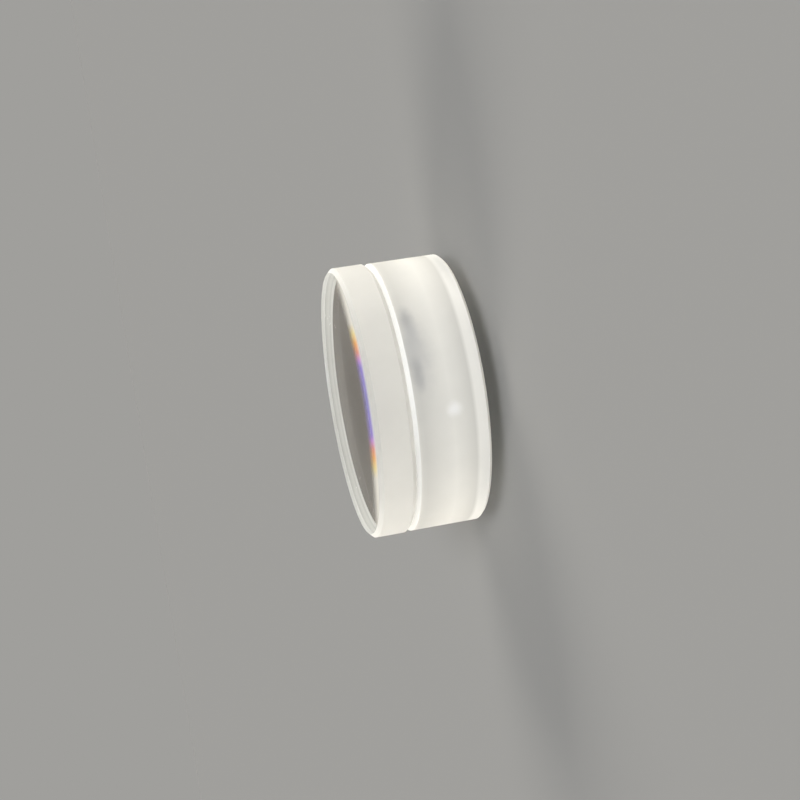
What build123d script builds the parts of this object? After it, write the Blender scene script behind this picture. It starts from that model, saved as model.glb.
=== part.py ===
from build123d import *
from math import sqrt
import os

# Cemented achromatic doublet lens, millimetres, +Z up.
# Z is the optical axis and the lens rests on the middle of its convex rear face: the origin
# is the vertex of that face, the flint is below and the crown on top. Each element is a
# glass disc with polished spherical faces, a ground edge and 45 degree ground bevels, and a
# thin bed of optical cement joins them.

# Driving dimensions
crown_diameter = 25.4  # ground edge of the crown, the full size of the lens
flint_edge_step = 0.05  # radial: the flint is edged this much smaller than the crown
crown_edge_thickness = 3.1  # between the sharp corners, before the bevels are ground
flint_edge_thickness = 6.95  # between the sharp corners, before the bevels are ground
cement_thickness = 0.03  # bed of cement, measured along the optical axis
front_radius = 350.0  # crown's outer face, weakly convex
joint_radius = 24.0  # cemented faces: convex on the crown, concave on the flint
rear_radius = 48.0  # flint's outer face, convex
front_bevel = 0.35  # radial width of the bevel round the front face
joint_bevel = 0.35  # radial width on both elements, which leaves a groove round the joint
rear_bevel = 0.25  # radial width of the bevel round the rear face


def sag(radius, height):
    """Depth of a spherical face between its vertex and a given height off the axis."""
    return radius - sqrt(radius**2 - height**2)


# Rims of the ground edges, and places along the optical axis
crown_rim = crown_diameter / 2
flint_rim = crown_rim - flint_edge_step
flint_vertex = sag(rear_radius, flint_rim) + flint_edge_thickness - sag(joint_radius, flint_rim)
crown_rear_vertex = flint_vertex + cement_thickness
crown_rear_corner = crown_rear_vertex + sag(joint_radius, crown_rim)
crown_front_corner = crown_rear_corner + crown_edge_thickness
crown_front_vertex = crown_front_corner + sag(front_radius, crown_rim)

os.makedirs("parts", exist_ok=True)

# Flint element: the thick-edged disc at the rear, a meniscus. The lens rests on its convex
# rear face, and its hollow front face takes the crown.
rear_aperture = flint_rim - rear_bevel
rear_aperture_height = sag(rear_radius, rear_aperture)
flint_hollow = flint_rim - joint_bevel
flint_hollow_height = flint_vertex + sag(joint_radius, flint_hollow)
with BuildPart() as flint_element:
    with BuildSketch(Plane.XZ):
        with BuildLine():
            Line((0, flint_vertex), (0, 0))
            RadiusArc((0, 0), (rear_aperture, rear_aperture_height), -rear_radius)
            Polyline(
                (rear_aperture, rear_aperture_height),
                (flint_rim, rear_aperture_height + rear_bevel),
                (flint_rim, flint_hollow_height - joint_bevel),
                (flint_hollow, flint_hollow_height),
            )
            RadiusArc((flint_hollow, flint_hollow_height), (0, flint_vertex), joint_radius)
        make_face()
    revolve(axis=Axis.Z)
flint_element.part.label = "flint_element"
export_step(flint_element.part, "parts/flint_element.step")

# Cement layer: a bed of clear optical cement of even thickness, which fills the gap
# between the two elements out to the edge of the flint's bevel.
with BuildPart() as cement_layer:
    with BuildSketch(Plane.XZ):
        with BuildLine():
            Line((0, crown_rear_vertex), (0, flint_vertex))
            RadiusArc((0, flint_vertex), (flint_hollow, flint_hollow_height), -joint_radius)
            Line(
                (flint_hollow, flint_hollow_height),
                (flint_hollow, flint_hollow_height + cement_thickness),
            )
            RadiusArc(
                (flint_hollow, flint_hollow_height + cement_thickness),
                (0, crown_rear_vertex),
                joint_radius,
            )
        make_face()
    revolve(axis=Axis.Z)
cement_layer.part.label = "cement_layer"
export_step(cement_layer.part, "parts/cement_layer.step")

# Crown element: the thin-edged disc in front, convex on both faces. Its strong rear face
# sits in the flint's hollow, and its weak front face looks up.
front_aperture = crown_rim - front_bevel
front_aperture_height = crown_front_vertex - sag(front_radius, front_aperture)
crown_bulge = crown_rim - joint_bevel
crown_bulge_height = crown_rear_vertex + sag(joint_radius, crown_bulge)
with BuildPart() as crown_element:
    with BuildSketch(Plane.XZ):
        with BuildLine():
            Line((0, crown_front_vertex), (0, crown_rear_vertex))
            RadiusArc((0, crown_rear_vertex), (crown_bulge, crown_bulge_height), -joint_radius)
            Polyline(
                (crown_bulge, crown_bulge_height),
                (crown_rim, crown_bulge_height + joint_bevel),
                (crown_rim, front_aperture_height - front_bevel),
                (front_aperture, front_aperture_height),
            )
            RadiusArc(
                (front_aperture, front_aperture_height), (0, crown_front_vertex), -front_radius
            )
        make_face()
    revolve(axis=Axis.Z)
crown_element.part.label = "crown_element"
export_step(crown_element.part, "parts/crown_element.step")

print(f"overall height {crown_front_vertex:.3f} mm")
print(f"crown centre thickness {crown_front_vertex - crown_rear_vertex:.3f} mm")
print(f"flint centre thickness {flint_vertex:.3f} mm")
print(f"flint edge from {rear_aperture_height + rear_bevel:.3f}", end=" ")
print(f"to {flint_hollow_height - joint_bevel:.3f} mm up")
print(f"crown edge from {crown_bulge_height + joint_bevel:.3f}", end=" ")
print(f"to {front_aperture_height - front_bevel:.3f} mm up")
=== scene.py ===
from math import asin, cos, pi, radians, sin, sqrt

import bmesh
import bpy
from mathutils import Matrix, Vector


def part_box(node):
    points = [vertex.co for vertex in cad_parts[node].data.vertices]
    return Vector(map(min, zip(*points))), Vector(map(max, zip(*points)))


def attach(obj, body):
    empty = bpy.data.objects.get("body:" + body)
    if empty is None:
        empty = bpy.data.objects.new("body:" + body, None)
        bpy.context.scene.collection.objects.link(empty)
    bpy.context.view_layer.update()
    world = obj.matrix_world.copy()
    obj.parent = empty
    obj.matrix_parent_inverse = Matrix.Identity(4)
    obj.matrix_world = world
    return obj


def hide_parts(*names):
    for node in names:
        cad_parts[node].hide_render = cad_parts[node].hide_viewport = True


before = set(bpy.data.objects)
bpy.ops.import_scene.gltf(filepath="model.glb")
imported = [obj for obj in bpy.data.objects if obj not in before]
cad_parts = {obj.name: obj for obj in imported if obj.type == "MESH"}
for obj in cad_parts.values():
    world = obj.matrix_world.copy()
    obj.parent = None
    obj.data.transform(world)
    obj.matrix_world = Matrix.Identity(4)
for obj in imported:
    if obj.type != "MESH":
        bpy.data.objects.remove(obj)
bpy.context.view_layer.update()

# Flint element
# The thick-edged glass disc at the rear, a meniscus of dense flint. Its two faces are
# polished to a sphere, and its edge and the 45 degree bevels round both faces are left as
# the centring wheel and the bevelling cup ground them.
MM = 0.001
JOINT_RADIUS = 24.0 * MM
REAR_RADIUS = 48.0 * MM
JOINT_BEVEL = 0.35 * MM  # radial width of the bevels beside the joint
REAR_BEVEL = 0.25 * MM
TURNS = 192  # steps round the optical axis
ARC_STEPS = 24  # rings on a polished face
WELD = 0.0001 * MM  # points nearer than this become one
CRISP_ANGLE = radians(12)  # a corner sharper than this isn't smoothed

# Material slots of an element
POLISHED = 0
GROUND = 1
REAR_BEVELLED = 2
CEMENTED = 3
FRONT_BEVELLED = 4


def sag(radius, height):
    """Depth of a spherical face between its vertex and a given height off the axis."""
    return radius - sqrt(radius**2 - height**2)


def revolve(bm, profile, slot):
    """Turn part of a profile once round the optical axis and give its faces a slot."""
    before = set(bm.faces)
    bmesh.ops.spin(
        bm, geom=profile, cent=(0, 0, 0), axis=(0, 0, 1), angle=2 * pi, steps=TURNS, use_merge=True
    )
    for face in set(bm.faces) - before:
        face.material_index = slot
        face.smooth = True


def spherical_face(bm, vertex, radius, rim, slot):
    """Spin the vertex of a face about its centre of curvature, which a positive radius puts
    above it, out to the rim, and revolve the arc."""
    before = set(bm.edges)
    pole = bm.verts.new((0, 0, vertex))
    bmesh.ops.spin(
        bm,
        geom=[pole],
        cent=(0, 0, vertex + radius),
        axis=(0, 1, 0),
        angle=-asin(rim / radius),
        steps=ARC_STEPS,
    )
    arc = list(set(bm.edges) - before)
    points = list({point for edge in arc for point in edge.verts})
    revolve(bm, points + arc, slot)


def ground_band(bm, corners, slot):
    """Revolve the straight stretches between corners given as radius and height."""
    points = [bm.verts.new((radius, 0, height)) for radius, height in corners]
    lines = [bm.edges.new(pair) for pair in zip(points, points[1:])]
    revolve(bm, points + lines, slot)


def finished_piece(bm, name, materials):
    """Close the seams, keep the ground corners crisp and make the object."""
    bmesh.ops.remove_doubles(bm, verts=bm.verts, dist=WELD)
    bmesh.ops.dissolve_degenerate(bm, edges=bm.edges, dist=WELD)
    bmesh.ops.recalc_face_normals(bm, faces=bm.faces)
    for edge in bm.edges:
        if edge.calc_face_angle(0) > CRISP_ANGLE:
            edge.smooth = False
    mesh = bpy.data.meshes.new(name)
    bm.to_mesh(mesh)
    bm.free()
    for material in materials:
        mesh.materials.append(material)
    piece = bpy.data.objects.new(name, mesh)
    bpy.context.scene.collection.objects.link(piece)
    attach(piece, "root")
    return piece


def linear(hex_colour):
    """An sRGB hex colour as the linear colour that shaders take."""
    parts = [int(hex_colour[i:i + 2], 16) / 255 for i in (1, 3, 5)]
    return [c / 12.92 if c <= 0.04045 else ((c + 0.055) / 1.055) ** 2.4 for c in parts] + [1.0]


def add_node(owner, kind, inputs=None, **settings):
    """Add a shader node to a material or the world; an input takes a value or an output."""
    tree = owner.node_tree
    node = tree.nodes.new("ShaderNode" + kind)
    for name, value in settings.items():
        setattr(node, name, value)
    for name, value in (inputs or {}).items():
        if isinstance(value, bpy.types.NodeSocket):
            tree.links.new(value, node.inputs[name])
        else:
            node.inputs[name].default_value = value
    return node


def new_material(name):
    """A material without any nodes yet."""
    material = bpy.data.materials.new(name)
    material.use_nodes = True
    material.node_tree.nodes.clear()
    return material


def eased(material, value, low, high, top=1.0):
    """A smooth rise from 0, where the value is low, to the top, where it is high."""
    rise = add_node(
        material,
        "MapRange",
        {"Value": value, "From Min": low, "From Max": high, "To Max": top},
        interpolation_type="SMOOTHSTEP",
    )
    return rise.outputs[0]


def blended(material, share, first, second, blend_type="MIX"):
    """Two colours mixed, or multiplied, by a share of the second."""
    mix = add_node(
        material,
        "MixRGB",
        {"Fac": share, "Color1": first, "Color2": second},
        blend_type=blend_type,
    )
    return mix.outputs[0]


def tones_along(material, length, span, stops):
    """Tones strung along a length that runs from 0 to a span in millimetres. Each stop has
    its place in millimetres and its colour."""
    along = add_node(
        material, "MapRange", {"Value": length, "From Min": 0.0, "From Max": span * MM}
    )
    ramp = add_node(material, "ValToRGB", {"Fac": along.outputs[0]})
    elements = ramp.color_ramp.elements
    while len(elements) < len(stops):
        elements.new(0.5)
    for element, (place, colour) in zip(elements, stops):
        element.position = place / span
        element.color = linear(colour)
    return ramp.outputs["Color"]


COAT_THICKNESS = 140.0  # of the anti-reflection coat, in nanometres
COAT_INDEX = 1.25


def polished_glass(name, ior, tint, painted_layer=None):
    """Polished optical glass under an anti-reflection coat: clear, with a faint tint left in what it
    mirrors, except that the flint's grey tint is painted shade, which darkens what is seen through
    it. A painted layer is a function that lays painted light over part of the glass."""
    material = new_material(name)
    glass = add_node(
        material,
        "BsdfPrincipled",
        {
            "Base Color": linear(tint),
            "Roughness": 0.0,
            "IOR": ior,
            "Transmission Weight": 1.0,
            "Thin Film Thickness": COAT_THICKNESS,
            "Thin Film IOR": COAT_INDEX,
        },
    )
    surface = painted_layer(material, glass.outputs[0]) if painted_layer else glass.outputs[0]
    add_node(material, "OutputMaterial", {"Surface": surface})
    return material


RAGGEDNESS = 0.4  # how far a patch's outline wavers, as a share of its smallest half width
WAVER_SIZE = 0.9 * MM


def patch(material, place, centre, size):
    """How far inside a soft, slightly ragged oval a point lies, from 0 outside to 1 in the
    middle. Centre and half widths are in millimetres."""
    ragged = RAGGEDNESS * min(size) * MM
    waver = add_node(material, "TexNoise", {"Vector": place, "Scale": 1 / WAVER_SIZE, "Detail": 3.0})
    shift = add_node(
        material,
        "VectorMath",
        {0: waver.outputs["Color"], 1: [ragged] * 3, 2: place},
        operation="MULTIPLY_ADD",
    )
    oval = add_node(
        material,
        "Mapping",
        {
            "Vector": shift.outputs[0],
            "Location": [c * MM + ragged / 2 for c in centre],
            "Scale": [c * MM for c in size],
        },
        vector_type="TEXTURE",
    )
    inside = add_node(material, "TexGradient", {0: oval.outputs[0]}, gradient_type="SPHERICAL")
    return eased(material, inside.outputs["Fac"], 0.0, 1.0)


GROUND_WHITES = ("#f2f1ed", "#f9f8f4")  # the two whites that a ground skin drifts between
CLOUD_SIZE = 2.5 * MM  # of that drift
GRIT_SIZE = 0.12 * MM  # of the pits that the grit left
GRIT_DEPTH = 0.02 * MM
PITTED_ROUGHNESS = 0.6
GLOW_SHARE = 0.5  # of the light that meets the skin, the part that goes through it
BAND_SPAN = 10  # millimetres up the axis that the tones of painted light and shade are given over


def ground_glass(
    name, ior, skin_share, painted_marks=(), painted_bands=(), glow_share=GLOW_SHARE, whites=GROUND_WHITES
):
    """Glass left as ground with loose grit: a white, pitted skin that passes light but no picture.
    Painted marks are soft patches of painted shade, where darker, and of painted highlight, where
    whiter, each with its centre, half widths, colour and strength. Painted bands are tones of painted
    light and shade that dull the white, each at its height up the axis."""
    material = new_material(name)
    place = add_node(material, "TexCoord").outputs["Object"]
    clouds = add_node(material, "TexNoise", {"Vector": place, "Scale": 1 / CLOUD_SIZE, "Detail": 3.0})
    grit = add_node(material, "TexNoise", {"Vector": place, "Scale": 1 / GRIT_SIZE, "Detail": 4.0})
    tone = blended(material, clouds.outputs["Fac"], linear(whites[0]), linear(whites[1]))
    # Painted light and shade up the axis: tones that dull the white
    if painted_bands:
        height = add_node(material, "SeparateXYZ", {0: place}).outputs["Z"]
        painted_shading = tones_along(material, height, BAND_SPAN, painted_bands)
        tone = blended(material, 1.0, tone, painted_shading, "MULTIPLY")
    # Painted shade and painted highlights laid on in soft patches
    for centre, size, colour, strength in painted_marks:
        inside = patch(material, place, centre, size)
        share = add_node(material, "Math", {0: inside, 1: strength}, operation="MULTIPLY")
        tone = blended(material, share.outputs[0], tone, linear(colour))
    pits = add_node(
        material, "Bump", {"Height": grit.outputs["Fac"], "Strength": 0.25, "Distance": GRIT_DEPTH}
    ).outputs[0]
    clear = add_node(
        material,
        "BsdfGlass",
        {"Color": linear("#ffffff"), "Roughness": PITTED_ROUGHNESS, "IOR": ior, "Normal": pits},
        distribution="MULTI_GGX",
    )
    white = add_node(material, "BsdfDiffuse", {"Color": tone, "Normal": pits})
    glow = add_node(material, "BsdfTranslucent", {"Color": tone, "Normal": pits})
    skin = add_node(
        material, "MixShader", {0: glow_share, 1: white.outputs[0], 2: glow.outputs[0]}
    )
    whole = add_node(
        material, "MixShader", {0: skin_share, 1: clear.outputs[0], 2: skin.outputs[0]}
    )
    add_node(material, "OutputMaterial", {"Surface": whole.outputs[0]})
    return material


def inner_face(name, ratio):
    """A polished face inside the joint, which bends light only by the ratio of the indices
    on its two sides. A ratio of 1 leaves the light alone."""
    material = new_material(name)
    if ratio == 1:
        glass = add_node(material, "BsdfTransparent", {"Color": linear("#ffffff")})
    else:
        glass = add_node(
            material, "BsdfGlass", {"Color": linear("#ffffff"), "Roughness": 0.0, "IOR": ratio}
        )
    add_node(material, "OutputMaterial", {"Surface": glass.outputs[0]})
    return material


CROWN_INDEX = 1.517
FLINT_INDEX = 1.620

flint_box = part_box("flint_element")
flint_rim = flint_box[1].x
flint_hollow = flint_rim - JOINT_BEVEL
flint_hollow_height = flint_box[1].z
flint_vertex = flint_hollow_height - sag(JOINT_RADIUS, flint_hollow)
rear_aperture = flint_rim - REAR_BEVEL
rear_vertex = flint_box[0].z
rear_aperture_height = rear_vertex + sag(REAR_RADIUS, rear_aperture)
rear_corner = (flint_rim, rear_aperture_height + REAR_BEVEL)
flint_front_corner = (flint_rim, flint_hollow_height - JOINT_BEVEL)

# Painted patches on the ground edge: grey patches of painted shade beside the groove, one painted
# highlight, and painted shade that dulls the ends of the painted bright band at the rear. Each has
# its centre and half widths in millimetres, its colour and its strength.
PAINTED_SHADE_PATCHES = [
    ((6.3, -10.8, 7.35), (1.9, 2.0, 0.9), "#a3a4a6", 0.7),
    ((5.0, -11.4, 7.2), (2.4, 2.0, 1.0), "#b4b5b7", 0.5),
    ((1.8, -12.3, 7.4), (1.8, 1.2, 0.8), "#96979a", 0.7),
    ((0.7, -12.4, 7.3), (1.2, 1.2, 0.7), "#a8a9ab", 0.5),
    ((3.2, -11.9, 7.4), (5.5, 3.0, 2.2), "#bdbec0", 0.55),
]
# A painted highlight: a soft white spot where light is focused onto the edge
PAINTED_HIGHLIGHT_SPOT = ((-1.9, -12.4, 4.7), (1.0, 1.0, 1.0), "#ffffff", 1.0)
# Painted shade that dulls the two ends of the painted bright band at the rear
PAINTED_SHADE_REAR_BAND_ENDS = [
    ((11.5, -6.0, 2.2), (5.0, 7.0, 1.1), "#dcdcd9", 0.9),
    ((-8.5, -9.5, 2.2), (6.0, 6.0, 1.1), "#e4e4e1", 0.9),
]

# Painted light and shade up the ground edge, at their heights in millimetres: a painted bright band
# at the rear, then two tones of painted shade with a paler one between them
PAINTED_EDGE_LIGHT_BANDS = [
    (1.88, "#ffffff"),
    (2.7, "#ffffff"),
    (3.05, "#e3e3e2"),
    (4.0, "#f1f1f0"),
    (4.9, "#f9f9f8"),
    (6.4, "#eeeeed"),
    (7.5, "#e3e3e2"),
    (7.85, "#e5e5e4"),
    (8.03, "#f0f0ef"),
]

# Painted shade: duller stretches of the groove's bevel, left and right, where less light falls on it
PAINTED_SHADE_GROOVE_ENDS = [
    ((-8.0, -10.0, 8.3), (9.0, 9.0, 4.0), "#c4c4c1", 0.9),
    ((9.0, -8.0, 8.3), (9.0, 9.0, 4.0), "#cbcbc8", 0.85),
]

flint = bmesh.new()
spherical_face(flint, rear_vertex, REAR_RADIUS, rear_aperture, POLISHED)
ground_band(flint, [(rear_aperture, rear_aperture_height), rear_corner], REAR_BEVELLED)
ground_band(flint, [rear_corner, flint_front_corner], GROUND)
ground_band(flint, [flint_front_corner, (flint_hollow, flint_hollow_height)], FRONT_BEVELLED)
spherical_face(flint, flint_vertex, JOINT_RADIUS, flint_hollow, CEMENTED)
flint_piece = finished_piece(
    flint,
    "flint_glass_disc",
    [
        # The flint's grey tint is painted shade, which darkens what is seen through the lens
        polished_glass("polished dense flint, grey as painted shade", FLINT_INDEX, "#cdcdcc"),
        # The flint's ground edge gets patches of painted shade, a painted highlight and bands of
        # painted light and shade
        ground_glass(
            "ground edge of dense flint with painted light and shade",
            FLINT_INDEX,
            0.88,
            PAINTED_SHADE_PATCHES + [PAINTED_HIGHLIGHT_SPOT] + PAINTED_SHADE_REAR_BAND_ENDS,
            PAINTED_EDGE_LIGHT_BANDS,
            glow_share=0.42,
        ),
        ground_glass("ground bevel of dense flint", FLINT_INDEX, 0.95),
        inner_face("flint face in the joint", FLINT_INDEX / CROWN_INDEX),
        # The groove's bevel has darker whites as painted shade against the strong light on it, and
        # painted shade at its ends
        ground_glass(
            "ground groove bevel of flint with painted shade",
            FLINT_INDEX,
            1.0,
            PAINTED_SHADE_GROOVE_ENDS,
            glow_share=0.1,
            whites=("#dcdcd9", "#e3e3e0"),
        ),
    ],
)
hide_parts("flint_element")

# Cement layer
# A bed of clear optical cement, three hundredths of a millimetre thick, cured between the
# two elements. Only its edge shows, as a fine line at the bottom of the groove.
CEMENT_FACE = 0
CEMENT_EDGE = 1

cement_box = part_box("cement_layer")
cement_rim = cement_box[1].x
cement_low = cement_box[0].z
cement_high = cement_box[1].z
cement_thickness = cement_high - cement_low - sag(JOINT_RADIUS, cement_rim)
cement_edge = [(flint_hollow, cement_high - cement_thickness), (flint_hollow, cement_high)]

cement = bmesh.new()
spherical_face(cement, cement_low, JOINT_RADIUS, flint_hollow, CEMENT_FACE)
ground_band(cement, cement_edge, CEMENT_EDGE)
spherical_face(cement, cement_low + cement_thickness, JOINT_RADIUS, flint_hollow, CEMENT_FACE)
cement_piece = finished_piece(
    cement,
    "cement_bed",
    [inner_face("cement face", 1), ground_glass("edge of the cement", CROWN_INDEX, 0.5)],
)
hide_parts("cement_layer")

# Crown element
# The thin-edged glass disc in front, of crown glass. Its strongly curved rear face is
# cemented into the flint's hollow and its nearly flat front face looks up. Both faces are
# polished, and the edge and the bevels are left ground.
FRONT_RADIUS = 350.0 * MM
FRONT_BEVEL = 0.35 * MM

crown_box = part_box("crown_element")
crown_rim = crown_box[1].x
crown_bulge = crown_rim - JOINT_BEVEL
crown_rear_vertex = crown_box[0].z
crown_bulge_height = crown_rear_vertex + sag(JOINT_RADIUS, crown_bulge)
front_aperture = crown_rim - FRONT_BEVEL
front_vertex = crown_box[1].z
front_aperture_height = front_vertex - sag(FRONT_RADIUS, front_aperture)
crown_rear_corner = (crown_rim, crown_bulge_height + JOINT_BEVEL)
crown_front_corner = (crown_rim, front_aperture_height - FRONT_BEVEL)

# Colours of the painted fringe, which stands in for the colours that the glass splits light into, at
# their distances from its middle, in millimetres
PAINTED_FRINGE = [
    (0.0, "#655f9f"),
    (3.0, "#705eb1"),
    (3.5, "#a272b8"),
    (4.2, "#bf796a"),
    (5.0, "#d09351"),
    (5.9, "#cdbb80"),
    (6.9, "#c8c5bd"),
]
FRINGE_SPAN = 8
FRINGE_PALE = "#b2b2b0"  # its painted pale tone right beside the rim
FRINGE_START = -8.4 * MM  # places on the line from the axis to the rim
FRINGE_FULL = -11.7 * MM
PALING_START = -10.9 * MM
PALE_FROM = -12.3 * MM
FRINGE_STRENGTH = 0.85
SLANT_START = 0.5  # of the Facing output, which is 1 for a face seen edge on
SLANT_FULL = 0.8


def painted_colour_fringe(material, glass):
    """A painted fringe of colours inside the rim on the camera's side, standing in for the colours
    that the glass splits light into there, and seen only at a slant: colour painted over a crescent
    of the face, violet in its middle and through red and yellow to a pale grey at its ends."""
    place = add_node(material, "TexCoord").outputs["Object"]
    axes = add_node(material, "SeparateXYZ", {0: place})
    aside = add_node(material, "Math", {0: axes.outputs["X"]}, operation="ABSOLUTE").outputs[0]
    hue = tones_along(material, aside, FRINGE_SPAN, PAINTED_FRINGE)
    square = add_node(material, "Math", {0: aside, 1: 2.0}, operation="POWER")
    towards_rim = add_node(
        material,
        "Math",
        {0: square.outputs[0], 1: -0.5 / front_aperture, 2: axes.outputs["Y"]},
        operation="MULTIPLY_ADD",
    ).outputs[0]
    depth = eased(material, towards_rim, FRINGE_START, FRINGE_FULL, FRINGE_STRENGTH)
    paling = eased(material, towards_rim, PALING_START, PALE_FROM)
    colour = blended(material, paling, hue, linear(FRINGE_PALE))
    slant = add_node(material, "LayerWeight", {"Blend": 0.5})
    grazing = eased(material, slant.outputs["Facing"], SLANT_START, SLANT_FULL)
    strength = add_node(material, "Math", {0: depth, 1: grazing}, operation="MULTIPLY")
    # The painted colour of the fringe
    painted_layer = add_node(material, "BsdfDiffuse", {"Color": colour})
    whole = add_node(
        material, "MixShader", {0: strength.outputs[0], 1: glass, 2: painted_layer.outputs[0]}
    )
    return whole.outputs[0]


# Painted shade makes the front bevel duller on the camera's side, and a painted glint makes the edge
# on the far side whiter
# Painted shade on the front bevel, on the camera's side
PAINTED_SHADE_NEAR_RIM = ((0.0, -12.0, 11.8), (30.0, 14.0, 6.0), "#cdcdca", 0.95)
# A painted glint on the edge on the far side
PAINTED_GLINT_FAR_WALL = ((3.1, 12.3, 10.2), (4.5, 3.0, 3.0), "#ffffff", 1.0)

crown = bmesh.new()
spherical_face(crown, crown_rear_vertex, JOINT_RADIUS, crown_bulge, CEMENTED)
ground_band(crown, [(crown_bulge, crown_bulge_height), crown_rear_corner], REAR_BEVELLED)
ground_band(crown, [crown_rear_corner, crown_front_corner], GROUND)
ground_band(crown, [crown_front_corner, (front_aperture, front_aperture_height)], FRONT_BEVELLED)
spherical_face(crown, front_vertex, -FRONT_RADIUS, front_aperture, POLISHED)
crown_piece = finished_piece(
    crown,
    "crown_glass_disc",
    [
        # The crown's front face gets the painted colour fringe
        polished_glass("polished crown with a painted colour fringe", CROWN_INDEX, "#fefefd", painted_colour_fringe),
        # The crown's ground edge gets a painted glint on the far side
        ground_glass(
            "ground edge of crown with a painted glint",
            CROWN_INDEX,
            0.85,
            [PAINTED_GLINT_FAR_WALL],
            glow_share=0.6,
            whites=("#e9e8e4", "#f0efeb"),
        ),
        ground_glass("ground bevel of crown", CROWN_INDEX, 0.9),
        inner_face("crown face in the joint", 1),
        # The front bevel gets painted shade on the camera's side
        ground_glass("fine ground front bevel of crown with painted shade", CROWN_INDEX, 0.75, [PAINTED_SHADE_NEAR_RIM]),
    ],
)
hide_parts("crown_element")

# Camera
# It looks along the rims and a little down on the front face, and is rolled so that the
# optical axis lies nearly level in the picture, front to the left, as in the photograph.
PITCH = radians(10.67)
ROLL = radians(99.32)
DISTANCE = 136.2 * MM
AIM_ASIDE = -0.417 * MM
AIM_ABOVE_REAR_RIM = 5.306 * MM
SENSOR_WIDTH = 36.0  # with the focal length, in millimetres of a full-frame camera
FOCAL_LENGTH = 65.1
NEAREST_SEEN = 5 * MM

aim = Vector((AIM_ASIDE, 0, rear_aperture_height + AIM_ABOVE_REAR_RIM))
stand = aim + Vector((0, -cos(PITCH), sin(PITCH))) * DISTANCE
turn = Matrix.Rotation(pi / 2 - PITCH, 4, "X") @ Matrix.Rotation(-ROLL, 4, "Z")
camera_data = bpy.data.cameras.new("camera")
camera_data.sensor_width = SENSOR_WIDTH
camera_data.lens = FOCAL_LENGTH
camera_data.clip_start = NEAREST_SEEN
camera = bpy.data.objects.new("camera", camera_data)
bpy.context.scene.collection.objects.link(camera)
camera.matrix_world = Matrix.Translation(stand) @ turn
bpy.context.scene.camera = camera

# Floor and light
# A plain pale floor and a backdrop of the same tone. One broad softbox shines over the front
# face from the camera's side, and two stand left and right of the lens and a little behind.
FLOOR_RADIUS = 4.0
FLOOR_SEGMENTS = 128
FLOOR_DROP = 0.002 * MM  # below the rear vertex, so that the two surfaces don't fight
FLOOR_COLOUR = "#838382"
BACKDROP_COLOUR = "#a09f9c"
SKY_LEVEL = 0.36

floor_mesh = bmesh.new()
bmesh.ops.create_circle(
    floor_mesh, cap_ends=True, segments=FLOOR_SEGMENTS, radius=FLOOR_RADIUS
)
bmesh.ops.translate(floor_mesh, verts=floor_mesh.verts, vec=(0, 0, rear_vertex - FLOOR_DROP))
floor_data = bpy.data.meshes.new("floor")
floor_mesh.to_mesh(floor_data)
floor_mesh.free()
floor_paint = new_material("matt floor paint")
matt = add_node(floor_paint, "BsdfDiffuse", {"Color": linear(FLOOR_COLOUR)})
add_node(floor_paint, "OutputMaterial", {"Surface": matt.outputs[0]})
floor_data.materials.append(floor_paint)
floor = bpy.data.objects.new("floor", floor_data)
bpy.context.scene.collection.objects.link(floor)


def softbox(name, towards, strength, spread, colour):
    """Even light from one side of the studio; towards points from the lens to the light,
    and the spread is in degrees."""
    light = bpy.data.lights.new(name, "SUN")
    light.color = linear(colour)[:3]
    light.energy = strength
    light.angle = radians(spread)
    lamp = bpy.data.objects.new(name, light)
    bpy.context.scene.collection.objects.link(lamp)
    lamp.matrix_world = Vector(towards).to_track_quat("Z", "Y").to_matrix().to_4x4()


softbox("softbox over the front face", (0.12, -0.79, 0.6), 3.0, 30, "#fdfeff")
softbox("softbox on the right", (0.9, 0.38, 0.2), 4.9, 40, "#fffaf1")
softbox("softbox on the left", (-0.9, 0.38, 0.2), 4.55, 40, "#fffaf1")

world = bpy.data.worlds.new("studio")
bpy.context.scene.world = world
world.use_nodes = True
world.node_tree.nodes.clear()
path = add_node(world, "LightPath")
seen = add_node(
    world,
    "Math",
    {0: path.outputs["Is Camera Ray"], 1: path.outputs["Is Glossy Ray"]},
    operation="MAXIMUM",
)
shown = add_node(
    world,
    "Math",
    {0: seen.outputs[0], 1: path.outputs["Is Transmission Ray"]},
    operation="MAXIMUM",
)
sky = add_node(world, "Background", {"Color": linear("#ffffff"), "Strength": SKY_LEVEL})
backdrop = add_node(world, "Background", {"Color": linear(BACKDROP_COLOUR), "Strength": 1.0})
both = add_node(
    world, "MixShader", {0: shown.outputs[0], 1: sky.outputs[0], 2: backdrop.outputs[0]}
)
add_node(world, "OutputWorld", {"Surface": both.outputs[0]})

GLASS_BOUNCES = 32  # light crosses several faces of glass before it comes out

scene = bpy.context.scene
scene.view_settings.view_transform = "Standard"
scene.cycles.max_bounces = GLASS_BOUNCES
scene.cycles.transmission_bounces = GLASS_BOUNCES
scene.cycles.transparent_max_bounces = GLASS_BOUNCES
scene.cycles.glossy_bounces = 16
scene.cycles.diffuse_bounces = 8
